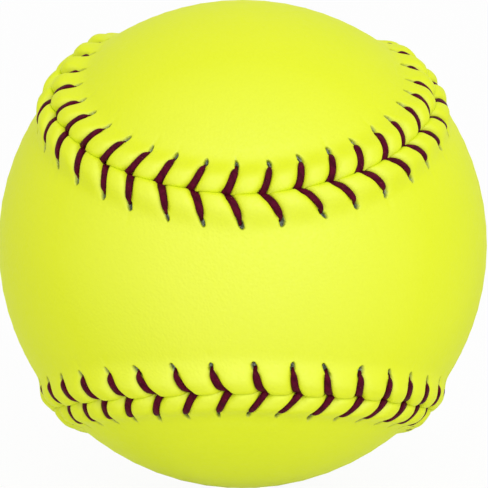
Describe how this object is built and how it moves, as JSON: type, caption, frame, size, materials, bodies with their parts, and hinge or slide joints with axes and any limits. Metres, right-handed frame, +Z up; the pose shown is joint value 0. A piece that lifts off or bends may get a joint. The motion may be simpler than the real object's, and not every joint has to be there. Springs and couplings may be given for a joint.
{
  "type": "softball",
  "caption": "Large training softball: foam core, two figure-of-eight synthetic leather covers cemented on and laced edge to edge with waxed thread in a raised herringbone seam.",
  "frame": {"origin": "centre of the ball", "axes": "+Y from the waist of the front cover to the waist of the back cover; the front cover's waist runs along X and the back cover's along Z; +Z up"},
  "size_m": [0.1138, 0.1134, 0.1138],
  "materials": {
    "core": "cast polyurethane foam, fine pores",
    "cement": "dried latex cement, satin",
    "cover": "fine-grained synthetic leather, satin",
    "thread": "waxed thread, satin"
  },
  "bodies": {
    "root": {"core": "core", "cement_coat": "cement", "front_cover": "cover", "back_cover": "cover", "thread": "thread"}
  },
  "joints": []
}
